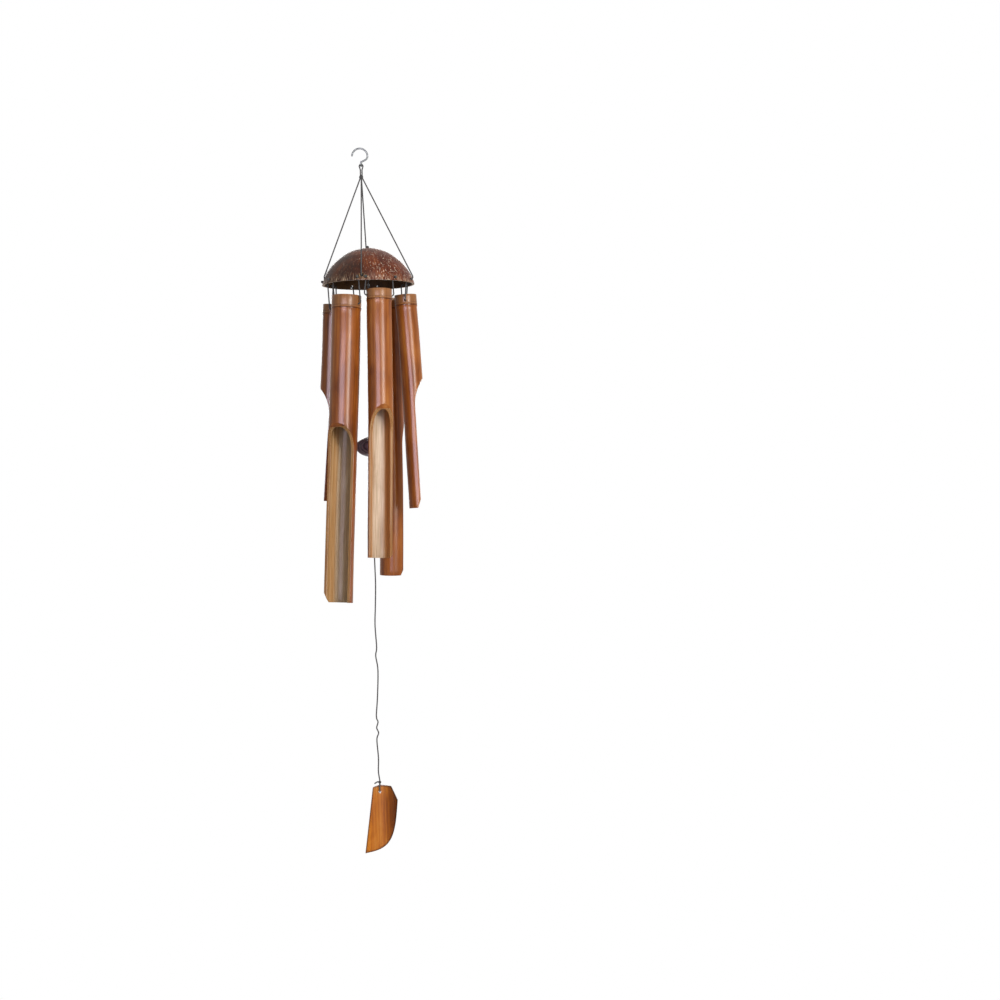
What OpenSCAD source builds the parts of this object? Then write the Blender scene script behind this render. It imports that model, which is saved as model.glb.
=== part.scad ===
// Bamboo wind chime: six cut-away bamboo tubes under half a coconut shell, hung from a wire hook,
// with a wooden clapper and a bamboo wind sail. The origin is the inner crown of the hook, +Z is up
// and -Y is the front.

/* [Hook] */
// Diameter of the hook's wire
hook_wire_d = 2.4; // [1.8:0.1:3]
// Radius of the crown bend, to the wire's centreline
hook_bend_r = 10.5; // [9:0.5:16]
// Radius of the bend that brings the wire back under the crown
hook_return_r = 6; // [5:0.5:9]
// Length of the straight wire that slants back to the stem
hook_slant = 5; // [4:0.5:8]
// Length of the straight stem above the eye
hook_stem = 0.5; // [0.5:0.5:6]
// Radius of the eye, to the wire's centreline
hook_eye_r = 3.2; // [3.2:0.1:5]

/* [Cord] */
// Diameter of every cord
cord_d = 1.8; // [1.4:0.1:2]
// Tightest radius that the cord is bent to
cord_bend_r = 3.6; // [3.2:0.1:4.5]
// Diameter of the stopper knots
knot_d = 5; // [4.6:0.1:6]
// Diameter of the knot that gathers the four suspension cords
hang_knot_d = 6.4; // [6:0.1:9]
// Length of the hanging loop, from the hook's eye to the middle of its knot
hang_loop_len = 15; // [11:0.5:20]
// Drop from the hanging knot to the crown of the shell
suspension_drop = 96.5; // [70:0.5:140]

/* [Coconut shell] */
// Radius of the shell's rim
shell_rim_r = 63; // [60:0.5:73]
// Height of the shell, from rim to crown
shell_h = 50; // [43:0.5:57]
// Thickness of the shell
shell_wall = 3.5; // [3:0.1:5]
// Height of the tube cords' holes above the rim
rim_hole_rise = 4.5; // [4:0.25:7]
// Height of the suspension cords' holes above the rim
suspension_hole_rise = 7; // [6.5:0.25:10]

/* [Tubes] */
// Radius of the circle that the tubes hang on, at their tops
tube_circle_r = 50; // [47:0.5:54]
// Thickness of the bamboo
tube_wall = 4; // [3:0.1:4.5]
// Thickness of the wall inside the node
septum = 3; // [2:0.25:5]
// Height of the tubes' cord holes above the node
cord_hole_rise = 5.5; // [5:0.25:7]
// Diameter of the tubes' cord holes
cord_hole_d = 3.2; // [2.8:0.1:4]
// How far the node's ridge stands out
node_ridge = 0.8; // [0.4:0.1:1.5]

/* [Tube 1, left] */
// Diameter of the left tube
tube_1_d = 26; // [22:0.5:28]
// Length of the left tube
tube_1_len = 268; // [230:1:320]
// Length of the left tube that is left whole above the cut
tube_1_whole = 115; // [90:1:140]

/* [Tube 2, front left] */
// Diameter of the front left tube
tube_2_d = 39; // [34:0.5:40]
// Length of the front left tube
tube_2_len = 410; // [370:1:450]
// Length of the front left tube that is left whole above the cut
tube_2_whole = 172; // [140:1:210]

/* [Tube 3, front] */
// Diameter of the front tube
tube_3_d = 33.5; // [30:0.5:35]
// Length of the front tube
tube_3_len = 358; // [320:1:400]
// Length of the front tube that is left whole above the cut
tube_3_whole = 155; // [120:1:190]

/* [Tube 4, right] */
// Diameter of the right tube
tube_4_d = 29.5; // [25:0.5:32]
// Length of the right tube
tube_4_len = 290; // [250:1:330]
// Length of the right tube that is left whole above the cut
tube_4_whole = 115; // [90:1:150]

/* [Tube 5, back right] */
// Diameter of the back right tube
tube_5_d = 36; // [32:0.5:39]
// Length of the back right tube
tube_5_len = 384; // [340:1:420]
// Length of the back right tube that is left whole above the cut
tube_5_whole = 165; // [130:1:200]

/* [Tube 6, back left] */
// Diameter of the back left tube
tube_6_d = 25; // [22:0.5:27]
// Length of the back left tube
tube_6_len = 330; // [300:1:370]
// Length of the back left tube that is left whole above the cut
tube_6_whole = 145; // [110:1:180]

/* [Clapper and sail] */
// Diameter of the clapper
clapper_d = 44; // [36:0.5:48]
// Height of the clapper
clapper_h = 28; // [20:0.5:34]
// Drop from the shell's rim to the middle of the clapper
clapper_drop = 220; // [190:1:250]
// Width of the sail
sail_w = 45.5; // [36:0.5:53]
// Length of the sail
sail_len = 91; // [75:1:110]
// Thickness of the sail
sail_wall = 3; // [2:0.1:4]
// Radius of the bamboo that the sail is split from, to its outer face
sail_curve_r = 31; // [30:0.5:40]
// Distance from the sail's top edge to its hole
sail_hole_edge = 9.5; // [8:0.25:14]

/* [Hidden] */
$fn = 64;

// Room between pieces that move on each other
gap = 0.4;
cord_r = cord_d / 2;
knot_r = knot_d / 2;

// Hook, as points [x, z] of the wire's centreline
hook_r = hook_wire_d / 2;
hook_tip_angle = 176;
hook_return_angle = 65;
eye_turn = 275;
stem_bend_r = 2;
crown_c = [0, hook_r - hook_bend_r];
return_c = crown_c + [hook_bend_r - hook_return_r, 0];
slant_top = return_c + hook_return_r * [cos(hook_return_angle), -sin(hook_return_angle)];
slant_end = slant_top - hook_slant * [sin(hook_return_angle), cos(hook_return_angle)];
stem_bend_c = slant_end + stem_bend_r * [cos(hook_return_angle), -sin(hook_return_angle)];
stem_top = stem_bend_c - [stem_bend_r, 0];
// The eye stands crosswise under the stem
eye_bottom = [stem_top.x, hook_eye_r, stem_top.y - hook_stem - hook_eye_r];

// Hanging loop: the cord goes round the bottom of the hook's eye
hang_turn_r = hook_r + cord_r + gap;
hang_knot_c = eye_bottom - [0, 0, hang_loop_len];
hang_leg_x = cord_r + gap / 2;

// Shell, beside the hook's plumb line, with the points [radius, depth] that shape its outer curve
shell_shift = [6, 1.3];
shell_top = hang_knot_c + [shell_shift.x, shell_shift.y, -suspension_drop];
rim_z = shell_top.z - shell_h;
dome_shape = [[0, 0], [0.48 * shell_rim_r, 0], [0.92 * shell_rim_r, 0.51 * shell_h], [shell_rim_r, shell_h]];

// Suspension cords in the order left, front, right, back: hole angles and where they leave the knot
suspension_angles = [-162, -94.5, 0, 93.5];
gather_angles = [180, -90, 0, 90];
gather_r = 1.9;
suspension_hole_r = cord_r + 1;
mouth_r = 3.2;

// Tubes 1 to 6: place round the shell, way the cut faces, gap under the rim, node below the top
tube_d = [tube_1_d, tube_2_d, tube_3_d, tube_4_d, tube_5_d, tube_6_d];
tube_len = [tube_1_len, tube_2_len, tube_3_len, tube_4_len, tube_5_len, tube_6_len];
tube_whole = [tube_1_whole, tube_2_whole, tube_3_whole, tube_4_whole, tube_5_whole, tube_6_whole];
tube_angle = [171, -122, -69.7, 0, 59.6, 132];
tube_cut_angle = [178, -110, -68, 2, 40, 132];
tube_drop = [25, 19, 12, 15, 14, 17];
tube_node = [12.5, 17, 13.5, 14, 14, 14];
// Lean of each tube, in degrees: out from the middle, and sideways round the shell
tube_lean_out = [4, 3.5, 2.5, 2.8, 2.5, 3.5];
tube_lean_side = [0, -1, -1.7, 0, 2.3, 1.5];
// Cut-away: share of the radius left in front of the axis (less than 0 is behind it), and height of
// the curve that leads into it
cut_share = [-0.15, 0.2, 0.15, 0.12, 0.3, 0.3];
cut_height = [35, 38, 44, 36, 40, 34];
// Bevel on the tongue's lower corner: world angle that it faces, width and height
bevel_angle = [180, 180, 0, 0, 0, 180];
bevel_w = [12, 6, 4, 17.7, 6, 4];
bevel_h = [24, 13, 5, 48.8, 14, 8];
// The band above the node is a little wider than the tube below it
band = 0.4;

// Tube cords: knots on the shell, in mouths, with the cord running in through the wall
knot_stand = 1.2;
rim_hole_r = cord_r + 1.3;
strand_gap = cord_bend_r + gap;

// Crown loop and clapper cord
crown_ring_r = cord_bend_r + gap;
crown_ring_c = shell_top - [0, 0, shell_wall + 3 + 2 * crown_ring_r];
crown_ring_bottom = crown_ring_c - [0, 0, crown_ring_r];
clapper_turn_r = 2 * cord_r + gap;
clapper_c = [shell_top.x, shell_top.y, rim_z - clapper_drop];
clapper_bore_r = cord_r + 0.6;
clapper_knot_c = clapper_c - [0, 0, clapper_h / 2 + knot_r + gap];

// Sail cord: side step, front step and drop from the knot under the clapper
sail_cord_route = [
  [0, 0, 20], [-0.5, 0.5, 60], [0, 0, 100], [0, -0.5, 137], [0.5, 0, 170], [-0.5, 0.5, 200], [-1.5, 0, 226],
  [0, -0.5, 256], [-1.5, 0, 268], [1, 0.5, 288], [-0.5, 0, 325], [-2.5, -0.5, 350], [-0.5, 0, 358],
  [-2.5, 0.5, 366], [0, 0, 373], [-2.5, -0.5, 382], [-1, 0, 407], [-1.5, 0, 425]
];
sail_cord_end = 437;
sail_knot_c = clapper_knot_c - [0, 0, sail_cord_end + knot_r + gap];
sail_loop_gap = knot_r + 1;
sail_hole_c = sail_knot_c - [0, 0, sail_loop_gap + sail_hole_edge];
sail_hole_r = cord_r + 0.9;
sail_leg_y = sail_wall / 2 + cord_r + gap + 0.2;
// Share of the sail's width that lies left of its hole
sail_left = 0.46;

function unit(v) = v / norm(v);

// Place on a curve shaped by four points, and the way that the curve runs there
function curve_point(p, t) =
  let (s = 1 - t)
  s * s * s * p[0] + 3 * s * s * t * p[1] + 3 * s * t * t * p[2] + t * t * t * p[3];
function curve_way(p, t) =
  let (s = 1 - t)
  unit(s * s * (p[1] - p[0]) + 2 * s * t * (p[2] - p[1]) + t * t * (p[3] - p[2]));

// Share of the dome's curve at a height above the rim, found by halving
function dome_t(rise, a = 0.5, b = 1, n = 16) =
  let (m = (a + b) / 2, low = curve_point(dome_shape, m).y > shell_h - rise)
  n == 0 ? m : dome_t(rise, low ? a : m, low ? m : b, n - 1);

// Way out of the dome, and a place that far off it, at an angle round the shell and a height above the rim
function dome_out(angle, rise) =
  let (way = curve_way(dome_shape, dome_t(rise)))
  turn_z([way.y, 0, way.x], angle);
function dome_point(off, angle, rise) =
  let (p = curve_point(dome_shape, dome_t(rise)))
  shell_top + turn_z([p.x, 0, -p.y], angle) + off * dome_out(angle, rise);

// World place of a point [out, sideways, up] in the frame of a tube's top
function turn_x(v, a) = [v.x, v.y * cos(a) - v.z * sin(a), v.y * sin(a) + v.z * cos(a)];
function turn_y(v, a) = [v.x * cos(a) + v.z * sin(a), v.y, v.z * cos(a) - v.x * sin(a)];
function turn_z(v, a) = [v.x * cos(a) - v.y * sin(a), v.x * sin(a) + v.y * cos(a), v.z];
function tube_top(i) =
  [shell_top.x, shell_top.y, rim_z - tube_drop[i]] + turn_z([tube_circle_r, 0, 0], tube_angle[i]);
function tube_point(i, v) =
  tube_top(i) + turn_z(turn_y(turn_x(v, tube_lean_side[i]), -tube_lean_out[i]), tube_angle[i]);

// A tube's two rim knots (side is 1 or -1): angle round the shell, place, and way in through the wall
function knot_angle(i, side) =
  let (flat = curve_point(dome_shape, dome_t(rim_hole_rise)).x)
  tube_angle[i] + side * asin((tube_d[i] / 2 + strand_gap) / flat);
function rim_knot(i, side) = dome_point(knot_stand, knot_angle(i, side), rim_hole_rise);
function knot_in(i, side) = -dome_out(knot_angle(i, side), rim_hole_rise);

// A corner of a route, rounded to a radius
function corner(a, v, b, r, steps) =
  let (u = unit(v - a), w = unit(b - v), turn = acos(min(1, max(-1, u * w))))
  turn < 1 ? [v] :
  let (n = unit(w - u * cos(turn)), c = v - u * r * tan(turn / 2) + n * r)
  [for (k = [0:steps]) c - n * r * cos(turn * k / steps) + u * r * sin(turn * k / steps)];
function rounded(path, r, steps = 5) = concat(
  [path[0]],
  [for (i = [1:len(path) - 2]) each corner(path[i - 1], path[i], path[i + 1], r, steps)],
  [path[len(path) - 1]]
);

// A smooth curve through every point of a route
function spline(path, steps) = concat(
  [for (i = [0:len(path) - 2], k = [0:steps - 1])
    let (
      a = path[max(0, i - 1)], b = path[i], c = path[i + 1], d = path[min(len(path) - 1, i + 2)],
      t = k / steps
    )
    0.5 * (2 * b + (c - a) * t + (2 * a - 5 * b + 4 * c - d) * t * t
      + (3 * b - a - 3 * c + d) * t * t * t)],
  [path[len(path) - 1]]
);

// Rings of a knot that a cord ends in: [place, radius], where along is the way that the cord runs
function knot_rings(c, along, r) =
  [for (a = [20:28:160]) [c - along * r * cos(a), r * sin(a)]];
function rings(path, r) = [for (p = path) [p, r]];

// One unbroken tube along [place, radius] rings
module cord_tube(list, sides = 8) {
  count = len(list);
  path = [for (l = list) l[0]];
  along = [for (i = [0:count - 1]) unit(path[min(count - 1, i + 1)] - path[max(0, i - 1)])];
  start = unit(cross(along[0], abs(along[0].x) < 0.8 ? [1, 0, 0] : [0, 1, 0]));
  side = [
    for (i = 0, s = start; i < count; i = i + 1, s = i < count ? unit(s - along[i] * (s * along[i])) : s) s
  ];
  points = [
    for (i = [0:count - 1], k = [0:sides - 1])
      let (a = 360 * k / sides)
      path[i] + list[i][1] * (side[i] * cos(a) + cross(along[i], side[i]) * sin(a))
  ];
  last = (count - 1) * sides;
  walls = [
    for (i = [0:count - 2], k = [0:sides - 1])
      let (a = i * sides + k, b = i * sides + (k + 1) % sides)
      each [[a, a + sides, b], [b, a + sides, b + sides]]
  ];
  caps = [for (k = [1:sides - 2]) each [[0, k, k + 1], [last, last + k + 1, last + k]]];
  polyhedron(points, concat(walls, caps));
}

// Points of a bend in the XZ plane round c = [x, z], between two angles from +X towards +Z
function bend(c, r, from, to, step = 12) =
  let (count = ceil(abs(to - from) / step))
  [for (k = [0:count]) let (a = from + (to - from) * k / count) [c.x + r * cos(a), 0, c.y + r * sin(a)]];

// One bent wire: tip, crown, return bend, slant, stem and eye
module hook() {
  wire = concat(
    bend(crown_c, hook_bend_r, hook_tip_angle, 0),
    bend(return_c, hook_return_r, -1, -hook_return_angle),
    bend(stem_bend_c, stem_bend_r, 180 - hook_return_angle, 180),
    [for (p = bend([0, 0], hook_eye_r, 180, 180 + eye_turn)) eye_bottom + [0, p.x, hook_eye_r + p.z]]
  );
  color("gray")
    cord_tube(rings(wire, hook_r), 16);
}

module hang_loop() {
  turn = [for (a = [0:15:180]) eye_bottom + hang_turn_r * [cos(a), 0, sin(a)]];
  foot = hang_knot_c + [0, 0, hang_knot_d / 2 + gap];
  ends = [for (s = [1, -1]) foot + [s * hang_leg_x, 0, 0]];
  color("dimgray")
    cord_tube(rings(concat([ends[0]], turn, [ends[1]]), cord_r));
}

module hang_knot() {
  color("dimgray")
    translate(hang_knot_c)
      sphere(hang_knot_d / 2);
}

// A suspension cord: straight from the knot to its hole, in through the wall and into a knot
module suspension_cord(i) {
  hole = dome_point(0, suspension_angles[i], suspension_hole_rise);
  out = dome_out(suspension_angles[i], suspension_hole_rise);
  top = hang_knot_c + turn_z([gather_r, 0, 0], gather_angles[i]) - [0, 0, hang_knot_d / 2 + gap];
  knot_c = hole - out * (shell_wall + knot_r + gap / 2);
  route = rounded([top, hole + out * (cord_r + gap), knot_c + out * knot_r], cord_bend_r);
  color("dimgray")
    cord_tube(concat(rings(route, cord_r), knot_rings(knot_c, -out, knot_r)));
}

module suspension_cord_left() { suspension_cord(0); }
module suspension_cord_front() { suspension_cord(1); }
module suspension_cord_right() { suspension_cord(2); }
module suspension_cord_back() { suspension_cord(3); }

// A round hole from p along a direction
module drill(p, along, r, length) {
  translate(p)
    rotate([0, acos(along.z), atan2(along.y, along.x)])
      cylinder(h = length, r = r);
}

// Outline [radius, height] of the shell's wall
module shell_profile() {
  steps = 16;
  polygon(concat(
    [for (k = [0:steps]) let (p = curve_point(dome_shape, k / steps)) [p.x, -p.y]],
    [for (k = [steps:-1:0])
      let (p = curve_point(dome_shape, k / steps), way = curve_way(dome_shape, k / steps))
      [p.x - shell_wall * way.y, -p.y - shell_wall * way.x]]
  ));
}

module coconut_shell() {
  reach = shell_wall + 2 * mouth_r;
  color("saddlebrown")
    difference() {
      translate(shell_top)
        rotate_extrude()
          shell_profile();
      translate([shell_top.x, shell_top.y, rim_z - 2 * shell_wall])
        cylinder(h = 2 * shell_wall, r = 2 * shell_rim_r);
      for (i = [0:5], side = [-1, 1]) {
        drill(rim_knot(i, side), knot_in(i, side), rim_hole_r, reach);
        translate(rim_knot(i, side))
          sphere(knot_r + gap);
      }
      for (a = suspension_angles) {
        inward = -dome_out(a, suspension_hole_rise);
        drill(dome_point(1, a, suspension_hole_rise), inward, suspension_hole_r, reach);
        translate(dome_point(0, a, suspension_hole_rise))
          sphere(mouth_r);
      }
      translate(shell_top - [0, 0, reach])
        cylinder(h = 2 * reach, r = rim_hole_r);
      translate(shell_top + [0, 0, knot_stand])
        sphere(knot_r + gap);
    }
}

// Outline [radius, height] of a tube with its node's ridge, and of the cup and the bore inside it
module tube_profile(i) {
  r = tube_d[i] / 2;
  n = -tube_node[i];
  polygon([
    [0, 0], [r + band, 0], [r + band, n + 1.5], [r + node_ridge, n + 0.6], [r + node_ridge, n - 0.6],
    [r, n - 2], [r, -tube_len[i]], [0, -tube_len[i]]
  ]);
}

module bamboo_tube(i) {
  r = tube_d[i] / 2;
  bore_r = r - tube_wall;
  length = tube_len[i];
  plane = cut_share[i] * r;
  depth = r - plane;
  curve_r = (cut_height[i] * cut_height[i] + depth * depth) / (2 * depth);
  cut_end = -tube_whole[i] - cut_height[i];
  color("peru")
    translate(tube_top(i))
      rotate([0, 0, tube_angle[i]])
        rotate([0, -tube_lean_out[i], 0])
          rotate([tube_lean_side[i], 0, 0])
            difference() {
              rotate_extrude()
                tube_profile(i);
              translate([0, 0, -tube_node[i] + septum / 2])
                cylinder(h = 2 * tube_node[i], r = bore_r);
              translate([0, 0, -2 * length])
                cylinder(h = 2 * length - tube_node[i] - septum / 2, r = bore_r);
              translate([0, 0, cord_hole_rise - tube_node[i]])
                rotate([90, 0, 0])
                  cylinder(h = 4 * r, d = cord_hole_d, center = true);
              rotate([0, 0, tube_cut_angle[i] - tube_angle[i]])
                translate([plane, -2 * r, -2 * length]) {
                  cube([2 * r, 4 * r, 2 * length + cut_end]);
                  translate([curve_r, 0, 2 * length + cut_end])
                    rotate([-90, 0, 0])
                      cylinder(h = 4 * r, r = curve_r);
                }
              rotate([0, 0, bevel_angle[i] - tube_angle[i]])
                translate([r - bevel_w[i], -2 * r, -length])
                  rotate([0, atan(bevel_w[i] / bevel_h[i]), 0])
                    translate([0, 0, -2 * bevel_h[i]])
                      cube([2 * r, 4 * r, 6 * bevel_h[i]]);
            }
}

module bamboo_tube_1() { bamboo_tube(0); }
module bamboo_tube_2() { bamboo_tube(1); }
module bamboo_tube_3() { bamboo_tube(2); }
module bamboo_tube_4() { bamboo_tube(3); }
module bamboo_tube_5() { bamboo_tube(4); }
module bamboo_tube_6() { bamboo_tube(5); }

// A tube's cord: from one rim knot in through the shell, down, across the tube's two holes and up again
function strand(i, side) =
  let (
    knot = rim_knot(i, side),
    inward = knot_in(i, side),
    hole_z = cord_hole_rise - tube_node[i]
  )
  [
    knot + inward * knot_r,
    knot + inward * (knot_stand + shell_wall + cord_bend_r),
    tube_point(i, [0, side * (tube_d[i] / 2 + strand_gap), hole_z])
  ];

module tube_cord(i) {
  down = strand(i, 1);
  up = strand(i, -1);
  route = rounded([down[0], down[1], down[2], up[2], up[1], up[0]], cord_bend_r);
  color("dimgray")
    cord_tube(concat(
      knot_rings(rim_knot(i, 1), knot_in(i, 1), knot_r),
      rings(route, cord_r),
      knot_rings(rim_knot(i, -1), -knot_in(i, -1), knot_r)
    ));
}

module tube_cord_1() { tube_cord(0); }
module tube_cord_2() { tube_cord(1); }
module tube_cord_3() { tube_cord(2); }
module tube_cord_4() { tube_cord(3); }
module tube_cord_5() { tube_cord(4); }
module tube_cord_6() { tube_cord(5); }

// The cord that comes down through the crown and ends in a drop-shaped ring, facing front and back
module crown_loop() {
  knot = shell_top + [0, 0, knot_stand];
  down = [0, 0, -1];
  split = crown_ring_c - down * 2 * crown_ring_r;
  ring = bend([crown_ring_c.x, crown_ring_c.z], crown_ring_r, 150, 390, 20);
  tail = [crown_ring_r * 0.366, 0, crown_ring_r * 1.366];
  color("dimgray")
    cord_tube(concat(
      knot_rings(knot, down, knot_r),
      rings([knot + down * knot_r, split], cord_r),
      rings([for (p = ring) [p.x, crown_ring_c.y, p.z]], cord_r),
      rings([crown_ring_c + tail], cord_r)
    ));
}

// The clapper's cord: a tail, over the crown ring, down through the clapper and into a knot
module clapper_cord() {
  turn = [for (a = [0:15:180]) crown_ring_bottom + clapper_turn_r * [0, cos(a), sin(a)]];
  tail = crown_ring_bottom + [0, clapper_turn_r, -8];
  leg = crown_ring_bottom + [0, -clapper_turn_r, -10];
  plumb = [shell_top.x, shell_top.y, leg.z - 12];
  down = [0, 0, -1];
  route = concat([tail], turn, rounded([turn[len(turn) - 1], leg, plumb, clapper_c], 5 * cord_bend_r));
  color("dimgray")
    cord_tube(concat(
      rings(route, cord_r),
      rings([clapper_knot_c - down * knot_r], cord_r),
      knot_rings(clapper_knot_c, down, knot_r)
    ));
}

module clapper() {
  color("rosybrown")
    translate(clapper_c)
      difference() {
        rotate_extrude()
          polygon([for (a = [-90:10:90]) [clapper_d / 2 * cos(a), clapper_h / 2 * sin(a)]]);
        cylinder(h = 2 * clapper_h, r = clapper_bore_r, center = true);
      }
}

module sail_cord() {
  top = clapper_knot_c - [0, 0, knot_r + gap];
  end = clapper_knot_c - [0, 0, sail_cord_end];
  route = concat([top], [for (p = sail_cord_route) clapper_knot_c + [p.x, p.y, -p.z]], [end]);
  color("dimgray")
    cord_tube(rings(spline(route, 4), cord_r));
}

// The knot above the sail, with its loop through the sail's hole
module sail_knot() {
  legs = [for (s = [1, -1]) sail_hole_c + [0, s * sail_leg_y, sail_hole_edge + 1]];
  turn = [for (s = [1, -1]) sail_hole_c + [0, s * sail_leg_y, 0]];
  color("dimgray") {
    translate(sail_knot_c)
      sphere(knot_r);
    cord_tube(rings(rounded([sail_knot_c, legs[0], turn[0], turn[1], legs[1], sail_knot_c], 1.5), cord_r));
  }
}

// A slice of a bamboo wall, with its hollow face to the front
module sail() {
  left = -sail_left * sail_w;
  right = left + sail_w;
  low = sail_hole_edge - sail_len;
  // The right edge and the lower end are one curve
  bend = [[right, -10], [right - 4, low * 0.61], [left + 40, low], [left, low]];
  curve = [for (k = [0:12]) curve_point(bend, k / 12)];
  color("chocolate")
    translate(sail_hole_c)
      difference() {
        intersection() {
          translate([0, sail_wall / 2 - sail_curve_r, low - 1])
            difference() {
              cylinder(h = sail_len + 2, r = sail_curve_r);
              translate([0, 0, -1])
                cylinder(h = sail_len + 4, r = sail_curve_r - sail_wall);
            }
          rotate([90, 0, 0])
            linear_extrude(height = 2 * sail_curve_r, center = true)
              polygon(concat(
                [[left + 11.5, 6.5], [0, sail_hole_edge], [right - 9, sail_hole_edge - 1.5]],
                curve
              ));
        }
        rotate([90, 0, 0])
          cylinder(h = 4 * sail_wall, r = sail_hole_r, center = true);
      }
}

hook();
hang_loop();
hang_knot();
suspension_cord_left();
suspension_cord_front();
suspension_cord_right();
suspension_cord_back();
coconut_shell();
bamboo_tube_1();
bamboo_tube_2();
bamboo_tube_3();
bamboo_tube_4();
bamboo_tube_5();
bamboo_tube_6();
tube_cord_1();
tube_cord_2();
tube_cord_3();
tube_cord_4();
tube_cord_5();
tube_cord_6();
crown_loop();
clapper_cord();
clapper();
sail_cord();
sail_knot();
sail();
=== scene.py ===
from math import acos, asin, atan, atan2, cos, hypot, pi, radians, sin, tan

import bpy
from mathutils import Matrix, Vector, geometry, noise


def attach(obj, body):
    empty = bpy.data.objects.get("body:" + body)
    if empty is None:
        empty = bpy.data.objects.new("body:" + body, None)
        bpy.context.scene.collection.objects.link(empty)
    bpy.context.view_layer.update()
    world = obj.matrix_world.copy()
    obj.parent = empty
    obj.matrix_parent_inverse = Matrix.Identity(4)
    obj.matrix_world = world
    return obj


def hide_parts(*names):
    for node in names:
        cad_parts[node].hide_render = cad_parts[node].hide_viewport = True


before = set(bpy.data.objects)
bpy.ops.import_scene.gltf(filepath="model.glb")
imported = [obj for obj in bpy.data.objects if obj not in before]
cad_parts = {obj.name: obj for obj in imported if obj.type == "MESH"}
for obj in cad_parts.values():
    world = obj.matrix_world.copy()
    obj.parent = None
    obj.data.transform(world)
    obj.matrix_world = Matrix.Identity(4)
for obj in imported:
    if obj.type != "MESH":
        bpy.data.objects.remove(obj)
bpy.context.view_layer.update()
bpy.ops.object.select_all(action="DESELECT")
mm = 0.001


# Shader values: sums and products of a Field add their Math nodes
class Field:
    def __init__(self, finish, socket):
        self.finish, self.socket = finish, socket

    def maths(self, operation, *others):
        return self.finish.add("ShaderNodeMath", {"operation": operation}, dict(enumerate((self,) + others)))

    def __add__(self, other):
        return self.maths("ADD", other)

    def __sub__(self, other):
        return self.maths("SUBTRACT", other)

    def __rsub__(self, other):
        return self.finish.add("ShaderNodeMath", {"operation": "SUBTRACT"}, {0: other, 1: self})

    def __mul__(self, other):
        return self.maths("MULTIPLY", other)

    __radd__ = __add__
    __rmul__ = __mul__

    def size(self):
        return self.maths("ABSOLUTE")

    def rise(self, start, end):  # 0 below start, 1 above end
        return self.finish.add("ShaderNodeMapRange", {"interpolation_type": "SMOOTHSTEP"},
                               {"Value": self, "From Min": start, "From Max": end})


class Finish:
    def __init__(self, tree):
        self.tree = tree
        tree.nodes.clear()

    def add(self, kind, settings=(), inputs=(), output=0):
        made = self.tree.nodes.new(kind)
        for key, value in dict(settings).items():
            if key == "stops":
                ramp = made.color_ramp
                ramp.elements.remove(ramp.elements[1])
                for k, (place, colour) in enumerate(value):
                    stop = ramp.elements[0] if k == 0 else ramp.elements.new(place)
                    stop.position, stop.color = place, paint(colour)
            else:
                setattr(made, key, value)
        for key, value in dict(inputs).items():
            if isinstance(value, Field):
                self.tree.links.new(value.socket, made.inputs[key])
            else:
                made.inputs[key].default_value = value
        return Field(self, made.outputs[output]) if made.outputs else None

    def stored(self, name, output="Fac"):
        return self.add("ShaderNodeAttribute", {"attribute_name": name}, output=output)

    def place(self, centre):
        spot = self.add("ShaderNodeTexCoord", output="Object")
        return self.add("ShaderNodeVectorMath", {"operation": "SUBTRACT"}, {0: spot, 1: centre})

    def cloud(self, place, stretch, detail=3.0, warp=0.0):
        stretched = self.add("ShaderNodeVectorMath", {"operation": "MULTIPLY"}, {0: place, 1: stretch})
        return self.add("ShaderNodeTexNoise", {}, {"Vector": stretched, "Scale": 1.0, "Detail": detail,
                                                   "Distortion": warp})

    def mixed(self, share, first, second, how="MIX"):
        return self.add("ShaderNodeMix", {"data_type": "RGBA", "blend_type": how},
                        {0: share, 6: first, 7: second}, output=2)

    def ramp(self, value, *stops):
        return self.add("ShaderNodeValToRGB", {"stops": stops}, {0: value})

    def axis(self, place, name):
        return self.add("ShaderNodeSeparateXYZ", {}, {0: place}, name)

    def bump(self, height, depth, strength):
        return self.add("ShaderNodeBump", {}, {"Height": height, "Distance": depth, "Strength": strength})

    def surface(self, sockets):
        shader = self.add("ShaderNodeBsdfPrincipled", {}, sockets)
        self.add("ShaderNodeOutputMaterial", {}, {0: shader})


def paint(code):
    parts = [int(code[k:k + 2], 16) / 255 for k in (0, 2, 4)]
    return tuple(p / 12.92 if p <= 0.04045 else ((p + 0.055) / 1.055) ** 2.4 for p in parts) + (1.0,)


def newFinish(name):
    material = bpy.data.materials.new(name)
    material.use_nodes = True
    return material, Finish(material.node_tree)


# Camera
view = {"place": (0.1798, -2.5814, -0.4806), "roll": 1.32, "lens": 68.4}
bpy.ops.object.camera_add(location=view["place"], rotation=(pi / 2, radians(view["roll"]), 0))
camera = bpy.context.object
camera.data.lens = view["lens"]
camera.data.sensor_width = 36
bpy.context.scene.camera = camera
bpy.context.scene.view_settings.view_transform = "Standard"

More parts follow.
